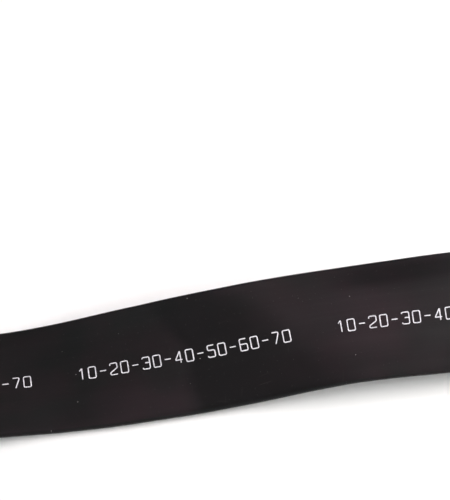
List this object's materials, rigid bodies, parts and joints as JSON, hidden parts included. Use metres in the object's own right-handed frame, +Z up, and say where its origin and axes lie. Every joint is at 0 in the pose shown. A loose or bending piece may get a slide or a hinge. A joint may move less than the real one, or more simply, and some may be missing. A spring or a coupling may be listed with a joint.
{
  "type": "heat shrink tube",
  "caption": "Flattened piece of black heat shrink tube that slips over a cable joint and shrinks when heated, lying in gentle waves.",
  "frame": {"origin": "middle of the underside of the whole piece's bounding box, on the floor that the tube lies on", "axes": "+X along the tube, towards the right of the picture; +Y away from the viewer, towards the tube's far edge; +Z up from the floor"},
  "size_m": [0.303, 0.0374, 0.0202],
  "materials": {
    "tube": "smooth satin black polyolefin"
  },
  "bodies": {
    "root": {"tube": "tube"}
  },
  "joints": []
}
